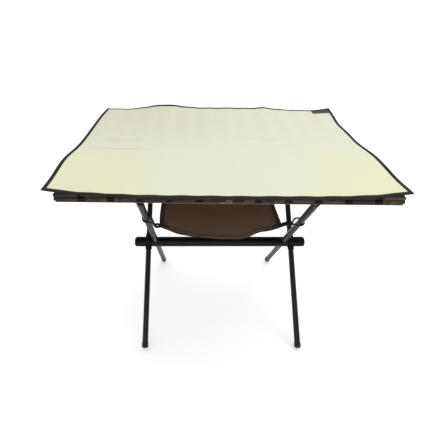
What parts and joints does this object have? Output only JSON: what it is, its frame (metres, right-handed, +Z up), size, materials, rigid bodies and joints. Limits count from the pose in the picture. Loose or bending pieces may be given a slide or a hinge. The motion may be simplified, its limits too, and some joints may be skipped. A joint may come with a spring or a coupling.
{
  "type": "camp kitchen table",
  "caption": "Low folding camp table: slatted cloth-covered top on crossed poles that turn on a centre beam, with a loose bound mat and a hanging cloth shelf.",
  "frame": {"origin": "on the floor, straight below the middle of the centre beam", "axes": "+X along the beam, -Y to the front, +Z up"},
  "size_m": [0.8114, 0.6152, 0.5848],
  "materials": {
    "inner_pole_coat": "satin black coated aluminium",
    "outer_pole_coat": "satin black coated aluminium",
    "beam_coat": "satin black coated aluminium",
    "moulded_black": "moulded glass filled nylon",
    "nylon": "natural nylon",
    "rubber": "moulded rubber",
    "elastic_cord": "braided sheath",
    "steel": "plated",
    "slat_board": "plain board",
    "rail_aluminium": "black anodised",
    "camouflage_fabric": "woven, printed camouflage",
    "webbing": "woven webbing",
    "shelf_fabric": "woven",
    "shelf_binding": "woven tape",
    "mat_fabric": "smooth coated cloth",
    "mat_binding": "woven binding tape",
    "label_fabric": "woven, blank"
  },
  "bodies": {
    "inner_frame": {"beam_tube": "beam_coat", "pole_blocks": "nylon", "inner_collars": "moulded_black", "thrust_washers": "nylon", "inner_pole_upper_left": "inner_pole_coat", "inner_pole_upper_right": "inner_pole_coat", "inner_pole_lower_left": "inner_pole_coat", "inner_pole_lower_right": "inner_pole_coat", "rear_foot_left": "rubber", "rear_foot_right": "rubber", "front_tips": "moulded_black", "inner_shock_cords": "elastic_cord", "shelf_cloth": "shelf_fabric", "shelf_hem": "shelf_binding", "shelf_tabs": "shelf_binding", "shelf_rings": "moulded_black", "front_hangers": "elastic_cord"},
    "outer_frame": {"hub_left": "moulded_black", "hub_right": "moulded_black", "end_caps": "moulded_black", "axle_rod": "steel", "axle_washers": "steel", "axle_nuts": "steel", "outer_pole_upper_left": "outer_pole_coat", "outer_pole_upper_right": "outer_pole_coat", "outer_pole_lower_left": "outer_pole_coat", "outer_pole_lower_right": "outer_pole_coat", "front_foot_left": "rubber", "front_foot_right": "rubber", "rear_tips": "moulded_black", "outer_shock_cords": "elastic_cord", "rear_hangers": "elastic_cord"},
    "tabletop": {"front_rail": "rail_aluminium", "front_sockets": "moulded_black", "panel_cover": "camouflage_fabric", "rail_ferrules": "rail_aluminium", "rail_plugs": "moulded_black", "rail_sleeve_front": "camouflage_fabric", "rail_sleeve_rear": "camouflage_fabric", "rear_rail": "rail_aluminium", "rear_sockets": "moulded_black", "roll_strap": "webbing", "slat_01": "slat_board", "slat_02": "slat_board", "slat_03": "slat_board", "slat_04": "slat_board", "slat_05": "slat_board", "slat_06": "slat_board", "slat_07": "slat_board", "slat_08": "slat_board", "slat_09": "slat_board", "slat_10": "slat_board", "slat_11": "slat_board", "slat_12": "slat_board", "socket_screws": "steel"},
    "mat": {"mat_sheet": "mat_fabric", "mat_binding": "mat_binding", "mat_label": "label_fabric"}
  },
  "joints": [
    {"name": "leg_fold", "type": "hinge", "parent": "inner_frame", "child": "outer_frame", "pos_m": [0, 0, 0.24], "axis": [1, 0, 0], "range_deg": [0, 74]},
    {"name": "top_tilt", "type": "hinge", "parent": "inner_frame", "child": "tabletop", "pos_m": [0, -0.2618, 0.552], "axis": [1, 0, 0], "range_deg": [0, 74]},
    {"name": "mat_lift", "type": "slide", "parent": "tabletop", "child": "mat", "axis": [0, 0, 1], "range_m": [0, 0.2]}
  ],
  "couplings": [
    {"joint": "top_tilt", "follows": "leg_fold", "ratio": 1}
  ]
}
